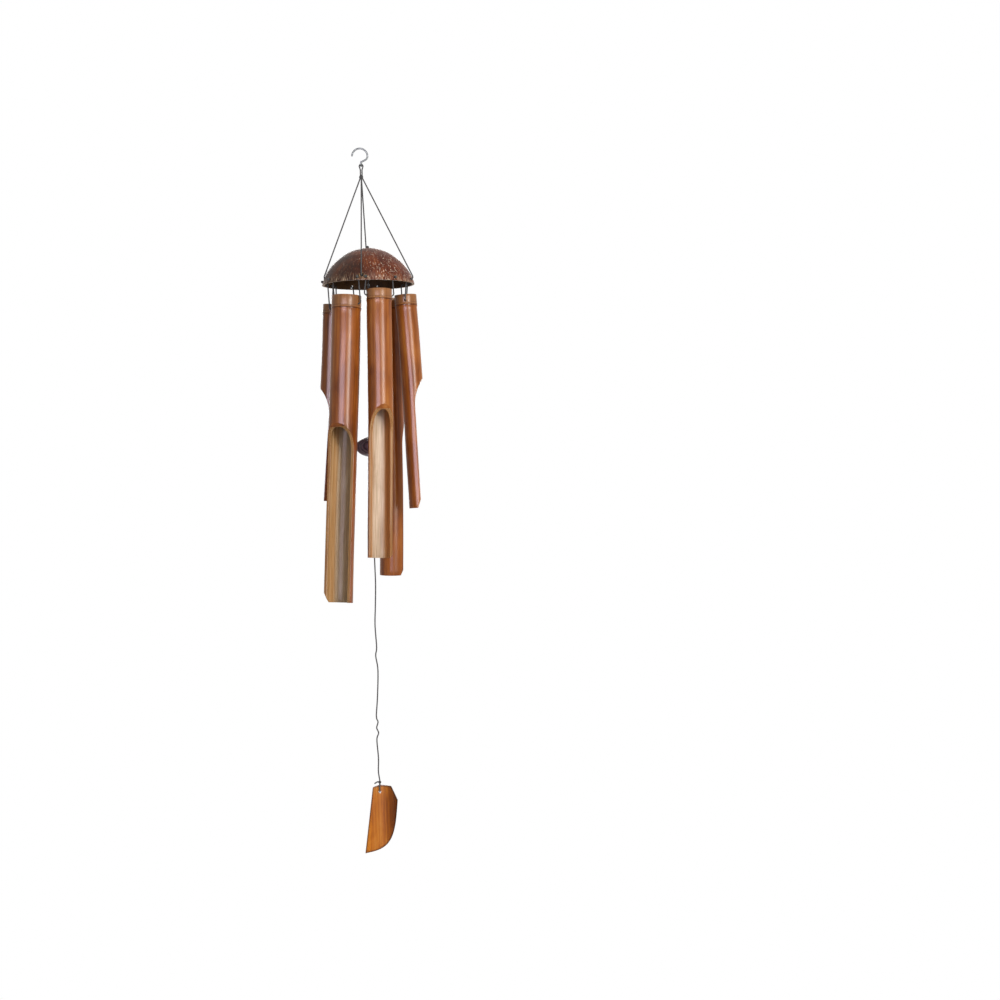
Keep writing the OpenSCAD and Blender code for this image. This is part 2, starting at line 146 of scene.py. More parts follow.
# Light and floor
studio = {"sky": 0.28, "floorHeight": -1.6, "floorReach": 1.3, "middle": (0.0, 0.0, -0.45)}
softboxes = {
    "coolStrip": {"place": (-0.66, -2.92, -0.3), "size": (1.9, 1.2), "power": 140,
                  "colour": (0.93, 0.82, 1.0), "fill": False},
    "warmStrip": {"place": (1.42, -2.3, -0.3), "size": (1.1, 1.2), "power": 52,
                  "colour": (1.0, 0.95, 0.88), "fill": False},
    "keyBox": {"place": (1.6, -2.1, 0.1), "size": (0.7, 1.2), "power": 44,
               "colour": (1.0, 0.97, 0.92), "fill": True},
    "topBox": {"place": (0.6, -1.3, 1.1), "size": (0.9, 0.9), "power": 11,
               "colour": (1.0, 0.97, 0.93), "fill": True},
    "rearBox": {"place": (-0.3, 2.7, 0.1), "size": (1.3, 1.3), "power": 48,
                "colour": (1.0, 0.98, 0.96), "fill": True},
}
for name, box in softboxes.items():
    bpy.ops.object.light_add(type="AREA", location=box["place"])
    lamp = bpy.context.object
    lamp.name = name
    lamp.data.shape = "RECTANGLE"
    lamp.data.size, lamp.data.size_y = box["size"]
    lamp.data.energy, lamp.data.color = box["power"], box["colour"]
    lamp.visible_diffuse = box["fill"]  # the strips only draw the long gleams on the varnish
    aim = Vector(studio["middle"]) - Vector(box["place"])
    lamp.rotation_euler = aim.to_track_quat("-Z", "Y").to_euler()

world = bpy.data.worlds.new("studio")
world.use_nodes = True
bpy.context.scene.world = world
sky = Finish(world.node_tree)
seen = sky.add("ShaderNodeLightPath", output="Is Camera Ray")
for ray in ("Is Glossy Ray", "Is Transmission Ray"):
    seen = seen.maths("MAXIMUM", sky.add("ShaderNodeLightPath", output=ray))
strength = seen * (1 - studio["sky"]) + studio["sky"]
glow = sky.add("ShaderNodeBackground", {}, {"Color": (1, 1, 1, 1), "Strength": strength})
sky.add("ShaderNodeOutputWorld", {}, {0: glow})

bpy.ops.mesh.primitive_circle_add(vertices=96, radius=studio["floorReach"], fill_type="NGON",
                                  location=(0, 0, studio["floorHeight"]))
floor = bpy.context.object
floor.name = "floor"
material, finish = newFinish("paleFloor")
finish.surface({"Base Color": paint("F2F1EE"), "Roughness": 0.8})
floor.data.materials.append(material)
print("camera, light and floor are set")


# Finishes. A stored wallDepth is 1 on a piece's outer skin and 0 on its inner face
def bambooGrain(f, place):
    fibre, streak = f.cloud(place, (1500, 1500, 25), 4), f.cloud(place, (260, 260, 5), 3, 0.3)
    normal = f.bump(fibre * 0.35 + streak * 0.65, 0.0005, 0.18)
    return fibre, streak, f.cloud(place, (42, 42, 17), 4, 0.6), normal


def bambooFinish():
    material, f = newFinish("varnishedBamboo")
    place, depth, tone = f.stored("tubePlace", "Vector"), f.stored("wallDepth"), f.stored("tone")
    up = f.axis(place, "Z")  # height above the node
    fibre, streak, patch, normal = bambooGrain(f, place)
    grain = fibre * 0.3 + streak * 0.5 + patch * 0.45 + tone * 0.5 - 0.38
    skin = f.ramp(grain, (0.2, "44200A"), (0.36, "7C4014"), (0.5, "9C5822"), (0.64, "B06E30"),
                  (0.82, "CA9858"))
    band = up.rise(0.0002, 0.0016)  # the paler top above the node
    skin = f.mixed(band * (0.3 + 0.3 * streak), skin, paint("94724E"))
    groove = 1 - (up + 0.0002).size().rise(0.0002, 0.0012)
    scar = 1 - (up - 0.0034).size().rise(0.0001, 0.0006)
    skin = f.mixed((groove + 0.5 * scar) * 0.7, skin, paint("3C1E0C"))
    sides, middle = fibre * 0.5 + streak * 0.5, fibre * 0.6 + patch * 0.4
    flank = f.ramp(sides, (0.3, "8A5426"), (0.5, "B67A48"), (0.7, "CE9C68"))
    pale = f.ramp(sides, (0.3, "8A6236"), (0.5, "B48A5C"), (0.7, "CFB088"))
    # The grey and cream of the trough's middle are partly a painted highlight
    grey = f.ramp(middle, (0.3, "7C6648"), (0.5, "A68E70"), (0.66, "C6B498"))
    cream = f.ramp(middle, (0.3, "8E7458"), (0.5, "C6AE94"), (0.66, "E8D6C2"))
    deep = (f.stored("trough") + streak * 0.3 - 0.15).rise(0.52, 0.98)  # 1 along the trough's middle, whose pale cream and grey is partly the pith's own colour and partly a painted highlight
    brighterTrough = tone.rise(0.4, 0.48)  # the lighter tubes have a creamier trough, partly a brighter painted highlight
    lining = f.mixed(deep, f.mixed(brighterTrough, pale, flank), f.mixed(brighterTrough, grey, cream))
    wood = f.ramp(fibre * 0.55 + streak * 0.45, (0.3, "7A4E28"), (0.5, "A27448"), (0.7, "C49E70"))
    body = f.mixed(depth.rise(0.02, 0.3), lining, wood)
    shine = depth.rise(0.86, 0.97)
    colour = f.mixed(shine, body, skin)
    roughness = 0.5 - shine * (0.16 - 0.12 * patch)
    f.surface({"Base Color": colour, "Roughness": roughness, "Specular IOR Level": 0.05,
               "Coat Weight": shine * 0.25 + 0.1, "Coat Roughness": 0.24, "Normal": normal})
    return material


def sailFinish():
    material, f = newFinish("planedBamboo")
    place, depth = f.stored("tubePlace", "Vector"), f.stored("wallDepth")
    fibre, streak, patch, normal = bambooGrain(f, place)
    shadedSide = f.axis(place, "X").rise(0.004, 0.024)  # painted shade: darker towards the curved edge
    # Painted shade: darker along the outline, standing in for the shaded cut edges
    edgeShade = 1 - (f.stored("border") + fibre * 0.2 - 0.1).rise(0.1, 0.75)
    grain = fibre * 0.3 + streak * 0.45 + patch * 0.35 - shadedSide * 0.14
    skin = f.ramp(grain, (0.34, "6E340A"), (0.46, "A05612"), (0.56, "C0701C"), (0.66, "CC8634"),
                  (0.78, "DCAE6A"))
    skin = f.mixed(edgeShade * 0.8, skin, paint("40200F"))
    # Painted shade: the cut edges take a dark, shaded copy of the cut wood
    wood = f.ramp(fibre * 0.55 + streak * 0.45, (0.3, "2E1A10"), (0.5, "523422"), (0.7, "7C5638"))
    face = 1 - depth.rise(0.03, 0.14) + depth.rise(0.86, 0.97)  # both broad faces are planed and varnished
    f.surface({"Base Color": f.mixed(face, wood, skin), "Roughness": 0.55 - face * (0.2 - 0.12 * patch),
               "Specular IOR Level": 0.05, "Coat Weight": face * 0.2, "Coat Roughness": 0.26,
               "Normal": normal})
    return material


def coconutFinish(centre):
    material, f = newFinish("polishedCoconut")
    place, depth = f.place(centre), f.stored("wallDepth")
    turn = f.axis(place, "X").maths("ARCTAN2", f.axis(place, "Y") * -1)
    height = f.axis(place, "Z")
    wrapped = f.add("ShaderNodeCombineXYZ", {}, {0: turn * shell["girth"], 1: height, 2: 0.0})
    husk = f.cloud(wrapped, (520, 90, 1), 3, 1.4)
    chip = f.cloud(wrapped, (420, 210, 1), 2, 1.8)
    scrape = f.cloud(wrapped, (1100, 60, 1), 2, 0.4)
    patch = f.cloud(place, (38, 38, 38), 4, 0.4)
    # Painted light and shade: the right side (+X) is redder and lighter, the left darker and duller
    side = (f.axis(place, "X") + patch * 0.08).rise(0.0, 0.07)
    shadedHusk = f.ramp(patch * 0.5 + husk * 0.5, (0.3, "1E110A"), (0.5, "362013"), (0.7, "56371F"))
    litHusk = f.ramp(patch * 0.5 + husk * 0.5, (0.3, "34130A"), (0.5, "5E2814"), (0.7, "8A4826"))
    skin = f.mixed(side * 0.8 + 0.1, shadedHusk, litHusk)
    # The pale husk marks and chips are wear, massed on the painted lit side
    wearOnLitSide = side * 0.88 + 0.12
    skin = f.mixed(husk.rise(0.6, 0.7) * wearOnLitSide * 0.6, skin, paint("A06238"))
    skin = f.mixed((chip + side * 0.03).rise(0.66, 0.7) * wearOnLitSide, skin, paint("E6D2BC"))
    low = 1 - (height + shell["height"] - shell["core"]).rise(0.003, 0.011)  # just above the rim
    skin = f.mixed(scrape.rise(0.54, 0.62) * low * 0.75, skin, paint("CDB093"))
    edge = f.ramp(scrape * 0.5 + patch * 0.5, (0.36, "3E2814"), (0.62, "B8966E"))
    inside = f.ramp(patch * 0.6 + scrape * 0.4, (0.35, "34210F"), (0.65, "664722"))
    colour = f.mixed(depth.rise(0.05, 0.3), inside, edge)
    shine = depth.rise(0.85, 0.97)
    colour = f.mixed(shine, colour, skin)
    normal = f.bump(husk * 0.4 + chip * 0.4 + scrape * 0.2, 0.0009, 0.35)
    f.surface({"Base Color": colour, "Roughness": 0.6 - shine * (0.2 - 0.15 * patch),
               "Specular IOR Level": 0.1, "Coat Weight": shine * 0.15, "Coat Roughness": 0.26,
               "Normal": normal})
    return material


def cordFinish():
    material, f = newFinish("waxedCord")
    crest, fuzz = f.stored("crest"), f.cloud(f.place((0, 0, 0)), (3500, 3500, 1800), 3)
    # Painted shade: darker in the grooves between the strands, lighter on their crests
    colour = f.ramp(crest * 0.55 + fuzz * 0.5, (0.2, "1A1A1A"), (0.5, "2C2C2B"), (0.85, "454443"))
    f.surface({"Base Color": colour, "Roughness": 0.7 + fuzz * 0.2, "Sheen Weight": 0.2,
               "Normal": f.bump(fuzz, 0.0002, 0.4)})
    return material


def clapperFinish(centre):
    material, f = newFinish("stainedWood")
    place = f.place(centre)
    ringWarp = f.cloud(place, (30, 30, 18), 3)
    pores = f.cloud(place, (160, 1300, 1300), 3)
    rings = f.add("ShaderNodeTexWave", {"bands_direction": "Y"},
                  {"Vector": place, "Scale": 95.0, "Distortion": 4.0, "Detail": 2.0})
    colour = f.ramp(rings * 0.35 + pores * 0.35 + ringWarp * 0.3, (0.25, "21101A"), (0.5, "44283A"),
                    (0.75, "6A4656"))
    f.surface({"Base Color": colour, "Roughness": 0.38 + pores * 0.2, "Specular IOR Level": 0.3,
               "Coat Weight": 0.2, "Coat Roughness": 0.25, "Normal": f.bump(pores, 0.0003, 0.25)})
    return material


def wireFinish():
    material, f = newFinish("drawnSteelWire")
    place = f.place((0, 0, 0))
    spots, drawn = f.cloud(place, (420, 420, 420), 4), f.cloud(place, (2600, 2600, 500), 2)
    colour = f.ramp(spots * 0.7 + drawn * 0.3, (0.3, "4A4D4D"), (0.5, "606464"), (0.72, "787C7C"))
    f.surface({"Base Color": colour, "Metallic": 0.95 - spots.rise(0.62, 0.75) * 0.4,
               "Roughness": 0.36 + spots * 0.2, "Normal": f.bump(drawn, 0.0002, 0.1)})
    return material


# Mesh helpers
def pick(piece):
    bpy.ops.object.select_all(action="DESELECT")
    piece.select_set(True)
    bpy.context.view_layer.objects.active = piece


def drawn(name, points, edges=(), faces=()):
    mesh = bpy.data.meshes.new(name)
    mesh.from_pydata([tuple(p) for p in points], edges, faces)
    piece = bpy.data.objects.new(name, mesh)
    bpy.context.collection.objects.link(piece)
    pick(piece)
    return piece


def turned(name, outline, steps):  # spins an outline of [radius, height] round Z
    piece = drawn(name, [(r, 0, z) for r, z in outline], [(k, k + 1) for k in range(len(outline) - 1)])
    bpy.ops.object.mode_set(mode="EDIT")
    bpy.ops.mesh.select_all(action="SELECT")
    bpy.ops.mesh.spin(steps=steps, angle=2 * pi, center=(0, 0, 0), axis=(0, 0, 1))
    bpy.ops.mesh.select_all(action="SELECT")
    bpy.ops.mesh.remove_doubles(threshold=1e-6)
    bpy.ops.mesh.normals_make_consistent(inside=False)
    bpy.ops.object.mode_set(mode="OBJECT")
    return piece


def slab(name, outline, half):  # extrudes an outline of [x, z] along Y, to both sides
    piece = drawn(name, [(x, -half, z) for x, z in outline], faces=[range(len(outline))])
    bpy.ops.object.mode_set(mode="EDIT")
    bpy.ops.mesh.select_all(action="SELECT")
    bpy.ops.mesh.extrude_region_move(TRANSFORM_OT_translate={"value": (0, 2 * half, 0)})
    bpy.ops.mesh.select_all(action="SELECT")
    bpy.ops.mesh.normals_make_consistent(inside=False)
    bpy.ops.object.mode_set(mode="OBJECT")
    return piece


def applied(piece, kind, **settings):
    pick(piece)
    modifier = piece.modifiers.new("shape", kind)
    for key, value in settings.items():
        setattr(modifier, key, value)
    bpy.ops.object.modifier_apply(modifier=modifier.name)


def carved(piece, cutter, place=Matrix(), operation="DIFFERENCE"):
    cutter.data.transform(place)
    applied(piece, "BOOLEAN", operation=operation, solver="EXACT", object=cutter)
    bpy.data.objects.remove(cutter)


def eased(piece, width, sharp):  # rounds the edges that are sharper than an angle
    applied(piece, "BEVEL", width=width, segments=2, limit_method="ANGLE", angle_limit=radians(sharp))


def store(piece, name, kind, values):
    layer = piece.data.attributes.new(name, kind, "POINT")
    layer.data.foreach_set("vector" if kind == "FLOAT_VECTOR" else "value", values)


def dressed(piece, material, body, node=None, sharp=35):
    pick(piece)
    bpy.ops.object.shade_smooth_by_angle(angle=radians(sharp))
    piece.data.materials.clear()
    piece.data.materials.append(material)
    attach(piece, body)
    if node:
        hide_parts(node)
    return piece


# Measures of the pieces that the cords join
hook = {"wire": 2.4 * mm, "bend": 10.5 * mm, "return": 6 * mm, "slant": 5 * mm, "slantAngle": 65,
        "stem": 0.5 * mm, "stemBend": 2 * mm, "eye": 3.2 * mm, "sides": 20}
cord = {"width": 1.8 * mm, "lay": 7 * mm, "bend": 3.6 * mm, "gap": 0.4 * mm, "step": 0.6 * mm, "sides": 12,
        "pathStep": 2 * mm, "strand": (0.9, 0.17), "knot": 5 * mm, "hangKnot": 6.4 * mm, "slack": 0.8 * mm,
        "tight": 0.95, "bead": 0.42, "beadRings": 9, "beadCrest": 0.3, "sharp": 60}
hangKnot = Vector((1.3494, 3.2, -37.3636)) * mm
hangTop = Vector((1.3494, 3.2, -22.3636)) * mm
shell = {"rim": 63 * mm, "height": 50 * mm, "wall": 3.5 * mm, "top": Vector((7.3494, 4.5, -133.8636)) * mm,
         "tubeHoleRise": 4.5 * mm, "tubeHole": 2.2 * mm, "cordHoleRise": 7 * mm, "cordHole": 1.9 * mm,
         "cordMouth": 3.2 * mm, "drill": 14 * mm, "knotStand": 1.2 * mm, "knotSink": 0.6 * mm,
         "knotSize": 4.2 * mm, "rings": 48, "steps": 150, "bevel": 0.5 * mm, "lumps": 0.5 * mm,
         "lumpScales": ((28, 0.6), (75, 0.3), (190, 0.1)), "girth": 0.065, "core": 0.06}
rimHeight = shell["top"].z - shell["height"]
domeShape = [Vector((across * shell["rim"], drop * shell["height"]))
             for across, drop in ((0, 0), (0.48, 0), (0.92, 0.51), (1, 1))]
# Each tube's tone sets its own brown; tube 1's is lower as painted shade from the tubes around it
tubes = [
    {"width": 26, "length": 268, "whole": 115, "angle": 171, "cut": 178, "drop": 25, "node": 12.5, "out": 4,
     "side": 0, "share": -0.15, "curve": 35, "bevel": (180, 12, 24), "tone": 0.34},
    {"width": 39, "length": 410, "whole": 172, "angle": -122, "cut": -110, "drop": 19, "node": 17, "out": 3.5,
     "side": -1, "share": 0.2, "curve": 38, "bevel": (180, 6, 13), "tone": 0.38},
    {"width": 33.5, "length": 358, "whole": 155, "angle": -69.7, "cut": -68, "drop": 12, "node": 13.5,
     "out": 2.5, "side": -1.7, "share": 0.15, "curve": 44, "bevel": (0, 4, 5), "tone": 0.5},
    {"width": 29.5, "length": 290, "whole": 115, "angle": 0, "cut": 2, "drop": 15, "node": 14, "out": 2.8,
     "side": 0, "share": 0.12, "curve": 36, "bevel": (0, 17.7, 48.8), "tone": 0.48},
    {"width": 36, "length": 384, "whole": 165, "angle": 59.6, "cut": 40, "drop": 14, "node": 14, "out": 2.5,
     "side": 2.3, "share": 0.3, "curve": 40, "bevel": (0, 6, 14), "tone": 0.36},
    {"width": 25, "length": 330, "whole": 145, "angle": 132, "cut": 132, "drop": 17, "node": 14, "out": 3.5,
     "side": 1.5, "share": 0.3, "curve": 34, "bevel": (180, 4, 8), "tone": 0.45},
]
tubeForm = {"circle": 50 * mm, "wall": 4 * mm, "septum": 3 * mm, "holeRise": 5.5 * mm, "hole": 3.2 * mm,
            "ridge": 0.8 * mm, "band": 0.4 * mm, "steps": 80, "row": 7 * mm, "plainFrom": 10 * mm,
            "bevel": 0.35 * mm, "ripple": 0.3 * mm, "bow": 0.9 * mm, "bowFrom": 4 * mm, "bowFade": 30 * mm,
            "cutSteps": 18, "cutPast": 2 * mm, "cutReach": 12 * mm}


def turnedBy(angle):
    return Matrix.Rotation(radians(angle), 4, "Z")


def tubePlace(tube):  # from the tube's own upright frame, its top at the origin, to where it hangs
    spot = turnedBy(tube["angle"]) @ Vector((tubeForm["circle"], 0, 0))
    spot += Vector((shell["top"].x, shell["top"].y, rimHeight - tube["drop"] * mm))
    lean = Matrix.Rotation(radians(-tube["out"]), 4, "Y") @ Matrix.Rotation(radians(tube["side"]), 4, "X")
    return Matrix.Translation(spot) @ turnedBy(tube["angle"]) @ lean


def bezier(p, t):  # place on a curve shaped by four points, and the way it runs there
    s = 1 - t
    way = s * s * (p[1] - p[0]) + 2 * s * t * (p[2] - p[1]) + t * t * (p[3] - p[2])
    return s ** 3 * p[0] + 3 * s * s * t * p[1] + 3 * s * t * t * p[2] + t ** 3 * p[3], way.normalized()


def domeSpot(angle, rise):  # place on the shell's outer face at a height above the rim, and the way out of it
    low, high = 0.5, 1.0
    for _ in range(18):
        half = (low + high) / 2
        spot, way = bezier(domeShape, half)
        low, high = (low, half) if spot.y > shell["height"] - rise else (half, high)
    turn = turnedBy(angle)
    return shell["top"] + turn @ Vector((spot.x, 0, -spot.y)), turn @ Vector((way.y, 0, way.x))


def rimKnot(tube, way):  # a tube's rim knot and the way in through the wall
    flat = (domeSpot(0, shell["tubeHoleRise"])[0] - shell["top"]).x
    half = asin((tube["width"] / 2 * mm + cord["bend"] + cord["gap"]) / flat) * 180 / pi
    spot, out = domeSpot(tube["angle"] + way * half, shell["tubeHoleRise"])
    return spot + out * shell["knotStand"], -out


def rounded(path, radius, steps=8):  # bends each corner of a path
    line = [path[0]]
    for before, spot, after in zip(path, path[1:], path[2:]):
        u, w = (spot - before).normalized(), (after - spot).normalized()
        turn = acos(max(-1, min(1, u.dot(w))))
        if turn < 0.02:
            line.append(spot)
            continue
        n = (w - u * cos(turn)).normalized()
        hub = spot - u * radius * tan(turn / 2) + n * radius
        line += [hub - n * radius * cos(turn * k / steps) + u * radius * sin(turn * k / steps)
                 for k in range(steps + 1)]
    return line + [path[-1]]


def smooth(path, steps=6):  # a soft curve through all points
    line = []
    for k in range(len(path) - 1):
        a, b, c, d = path[max(0, k - 1)], path[k], path[k + 1], path[min(len(path) - 1, k + 2)]
        for t in (j / steps for j in range(steps)):
            line.append(0.5 * (2 * b + (c - a) * t + (2 * a - 5 * b + 4 * c - d) * t * t
                               + (3 * b - a - 3 * c + d) * t ** 3))
    return line + [path[-1]]


def evenly(path, step):  # points at equal steps along a path
    line, left = [path[0]], step
    for a, b in zip(path, path[1:]):
        reach, gone = (b - a).length, 0
        while reach - gone >= left:
            gone += left
            line.append(a.lerp(b, gone / reach))
            left = step
        left -= reach - gone
    if (line[-1] - path[-1]).length < step / 3:
        line.pop()
    return line + [path[-1]]


def swept(name, rings, sides, turn=0):  # a tube along rings of [place, radii], turned a little at each ring
    points, side, last = [], Vector((0.3, 0.5, 0.8)), len(rings) - 1
    for k, (spot, radii) in enumerate(rings):
        ahead = (rings[min(k + 1, last)][0] - rings[max(k - 1, 0)][0]).normalized()
        side = (side - ahead * side.dot(ahead)).normalized()
        across = ahead.cross(side)
        for j in range(sides):
            angle = 2 * pi * j / sides + turn * k
            points.append(spot + (side * cos(angle) + across * sin(angle)) * radii[j])
    faces = [tuple(reversed(range(sides))), tuple(range(last * sides, last * sides + sides))]
    for a, b in ((k * sides + j, k * sides + (j + 1) % sides) for k in range(last) for j in range(sides)):
        faces.append((a, b, b + sides, a + sides))
    return drawn(name, points, faces=faces)


def laidCord(name, path, width=cord["width"]):  # three strands laid into one
    line, sides, (least, rise) = evenly(path, cord["step"]), cord["sides"], cord["strand"]
    crests = [abs(cos(3 * pi * j / sides)) for j in range(sides)]
    radii = [width / 2 * (least + rise * crest) for crest in crests]
    piece = swept(name, [(spot, radii) for spot in line], sides, 2 * pi * cord["step"] / cord["lay"])
    store(piece, "crest", "FLOAT", crests * len(line))
    return piece


def overhandKnot(name, centre, ahead, size):
    loop, bead, count = (size - cord["width"]) / 6, size * cord["bead"], cord["beadRings"]
    turn = Vector((0, 0, 1)).rotation_difference(ahead).to_matrix()
    trefoil = [Vector((sin(t) + 2 * sin(2 * t), cos(t) - 2 * cos(2 * t), -1.5 * sin(3 * t)))
               for t in (2 * pi * k / 60 for k in range(63))]
    knot = laidCord(name, [centre + turn @ (spot * loop) for spot in trefoil], cord["width"] * cord["tight"])
    rings = [(centre - ahead * bead * cos(a), [bead * sin(a)] * cord["sides"])
             for a in (pi * (k + 0.5) / count for k in range(count))]
    core = swept("core", rings, cord["sides"])  # the turns drawn tight in the middle
    # The knot's core takes a low crest, so it is painted darker like the grooves
    store(core, "crest", "FLOAT", [cord["beadCrest"]] * len(core.data.vertices))
    pick(knot)
    core.select_set(True)
    bpy.ops.object.join()
    return knot


down = Vector((0, 0, -1))
cordLook = cordFinish()


def hungCord(name, path, body, node, knots, length):
    piece = dressed(laidCord(name, path), cordLook, body, node, cord["sharp"])
    tied = [dressed(overhandKnot(f"{name}Knot{k + 1}", *knot), cordLook, body, None, cord["sharp"])
            for k, knot in enumerate(knots)]
    if length:
        evenly(path, cord["pathStep"])


def measured(path):
    return sum((b - a).length for a, b in zip(path, path[1:]))


# Hanging loop over the hook's eye, and the knot that gathers the cords
loop = {"half": 1.1 * mm, "wrap": 0.3, "foot": 1.5 * mm, "steps": 14, "knotShape": (0.86, 0.86, 1.14, 1)}
turnRadius = hook["wire"] / 2 + cord["width"] / 2 + cord["gap"]
reach = (turnRadius * cos(loop["wrap"]) - loop["half"]) / sin(loop["wrap"])  # from the eye to the waist
waistDrop = turnRadius * sin(loop["wrap"]) + reach * cos(loop["wrap"])
feet = [hangKnot + Vector((way * loop["half"], 0, loop["foot"])) for way in (1, -1)]
waist = [hangTop + Vector((way * loop["half"], 0, -waistDrop)) for way in (1, -1)]
angles = [-loop["wrap"] + (pi + 2 * loop["wrap"]) * k / loop["steps"] for k in range(loop["steps"] + 1)]
overEye = [hangTop + turnRadius * Vector((cos(a), 0, sin(a))) for a in angles]
path = rounded([feet[0], waist[0], overEye[0]], cord["bend"]) + overEye[1:-1]
path += rounded([overEye[-1], waist[1], feet[1]], cord["bend"])
hungCord("hangLoop", path, "hang_loop", "hang_loop", [], None)
gather = overhandKnot("hangKnot", hangKnot, down, cord["hangKnot"] + cord["slack"])
drawnOut = Matrix.Diagonal(loop["knotShape"])
gather.data.transform(Matrix.Translation(hangKnot) @ drawnOut @ Matrix.Translation(-hangKnot))
dressed(gather, cordLook, "hang_knot", "hang_knot", cord["sharp"])

# Suspension cords, from the knot to their holes and in through the wall
suspension = {"left": (-162, 180), "front": (-94.5, -90), "right": (0, 0), "back": (93.5, 90)}
gathered = {"ring": 1.9 * mm, "inset": 1 * mm}
for name, (angle, gatherAngle) in suspension.items():
    hole, out = domeSpot(angle, shell["cordHoleRise"])
    top = hangKnot + turnedBy(gatherAngle) @ Vector((gathered["ring"], 0, 0))
    top += down * (cord["hangKnot"] / 2 - gathered["inset"])
    inner = hole - out * (shell["wall"] + cord["knot"] / 2 + cord["gap"] / 2)
    path = rounded([top, hole + out * (cord["width"] / 2 + cord["gap"]), inner], cord["bend"])
    hungCord(f"suspensionCord{name.title()}", path, "canopy", f"suspension_cord_{name}",
             [(inner, out, cord["knot"])], measured(path))

# Tube cords, each from one rim knot across its tube and up to the other knot
for k, tube in enumerate(tubes):
    corners, knots = [], []
    across = tube["width"] / 2 * mm + cord["bend"] + cord["gap"]
    for way in (1, -1):
        knot, inward = rimKnot(tube, way)
        under = knot + inward * (shell["knotStand"] + shell["wall"] + cord["bend"])
        low = tubePlace(tube) @ Vector((0, way * across, tubeForm["holeRise"] - tube["node"] * mm))
        corners.append([knot, under, low])
        knots.append((knot + inward * shell["knotSink"], inward, shell["knotSize"]))
    path = rounded(corners[0] + corners[1][::-1], cord["bend"])
    hungCord(f"tubeCord{k + 1}", path, f"tube_{k + 1}", f"tube_cord_{k + 1}", knots, measured(path))

# Crown loop and clapper cord
clapper = {"width": 44 * mm, "height": 28 * mm, "drop": 220 * mm, "bore": 1.5 * mm, "steps": 96,
           "groove": 0.35 * mm, "grooveRise": 0.55, "grooveHalf": 0.5 * mm}
crownLoop = {"radius": cord["bend"] + cord["gap"], "stem": 3 * mm, "arc": range(150, 391, 8),
             "tail": Vector((0.366, 0, 1.366))}
ringRadius = crownLoop["radius"]
crownKnot = shell["top"] + Vector((0, 0, shell["knotStand"]))
ringCentre = shell["top"] + down * (shell["wall"] + crownLoop["stem"] + 2 * ringRadius)
ring = [ringCentre + ringRadius * Vector((cos(radians(a)), 0, sin(radians(a)))) for a in crownLoop["arc"]]
path = [crownKnot, ringCentre - down * 2 * ringRadius] + ring + [ringCentre + ringRadius * crownLoop["tail"]]
hungCord("crownLoop", path, "crown_loop", "crown_loop", [(crownKnot, down, cord["knot"])], None)

clapperCord = {"hitch": cord["width"] + cord["gap"], "leg": 10 * mm, "plumb": 12 * mm, "end": 8 * mm,
               "knot": 7 * mm, "knotSize": cord["knot"] * 0.9, "bend": 5 * cord["bend"], "steps": 14}
ringFoot = ringCentre + down * ringRadius
clapperCentre = Vector((shell["top"].x, shell["top"].y, rimHeight - clapper["drop"]))
clapperKnot = clapperCentre + down * (clapper["height"] / 2 + cord["knot"] / 2 + cord["gap"])
hitch, steps = clapperCord["hitch"], clapperCord["steps"]
over = [ringFoot + hitch * Vector((0, cos(pi * k / steps), sin(pi * k / steps))) for k in range(steps + 1)]
leg = ringFoot + Vector((0, -hitch, -clapperCord["leg"]))
plumb = Vector((shell["top"].x, shell["top"].y, leg.z - clapperCord["plumb"]))
path = [ringFoot + Vector((0, hitch, -clapperCord["end"]))] + over
path += rounded([over[-1], leg, plumb, clapperKnot], clapperCord["bend"])[1:]
knots = [(clapperKnot, down, cord["knot"])]
knots.append((ringFoot + down * clapperCord["knot"], down, clapperCord["knotSize"]))
hungCord("clapperCord", path, "clapper", "clapper_cord", knots, None)

# Sail cord, with the kinks that the photo shows, and the sail's knot, loop and tail
sailCord = {"end": 437 * mm, "start": 1.5 * mm, "sink": 0.8 * mm, "route": [
    (0, 0, 20), (-0.5, 0.5, 60), (0, 0, 100), (0, -0.5, 137), (0.5, 0, 170), (-0.5, 0.5, 200), (-1.5, 0, 226),
    (0, -0.5, 256), (-1.5, 0, 268), (1, 0.5, 288), (-0.5, 0, 325), (-2.5, -0.5, 350), (-0.5, 0, 358),
    (-2.5, 0.5, 366), (0, 0, 373), (-2.5, -0.5, 382), (-1, 0, 407), (-1.5, 0, 425)]}
sailKnot = clapperKnot + down * (sailCord["end"] + cord["knot"] / 2 + cord["gap"])
path = [clapperKnot + down * sailCord["start"]]
path += [clapperKnot + Vector((x, y, -z)) * mm for x, y, z in sailCord["route"]]
path = smooth(path + [clapperKnot + down * sailCord["end"], sailKnot - down * sailCord["sink"]])
hungCord("sailCord", path, "sail_cord", "sail_cord", [], measured(path))
print("cords laid, sail cord", round(measured(path), 4), "m")

sail = {"width": 45.5 * mm, "length": 91 * mm, "wall": 3 * mm, "curve": 31 * mm, "left": 0.46,
        "holeEdge": 9.5 * mm, "hole": 1.8 * mm, "bevel": 0.9 * mm, "edgeShadeWidth": 3.5 * mm, "wave": 0.5 * mm,
        "rows": 26, "over": 2 * mm, "knotGap": 1 * mm, "play": 0.2 * mm, "loopBend": 1.5 * mm,
        "tail": ((0, 0, 0), (-2.5, -0.5, 0.6), (-5, -1, -0.4), (-7, -1, -2))}
sailHole = sailKnot + down * (cord["knot"] / 2 + sail["knotGap"] + sail["holeEdge"])
spread = sail["wall"] / 2 + cord["width"] / 2 + cord["gap"] + sail["play"]
legs = [sailHole + Vector((0, way * spread, sail["holeEdge"] + sail["knotGap"])) for way in (1, -1)]
turns = [sailHole + Vector((0, way * spread, 0)) for way in (1, -1)]
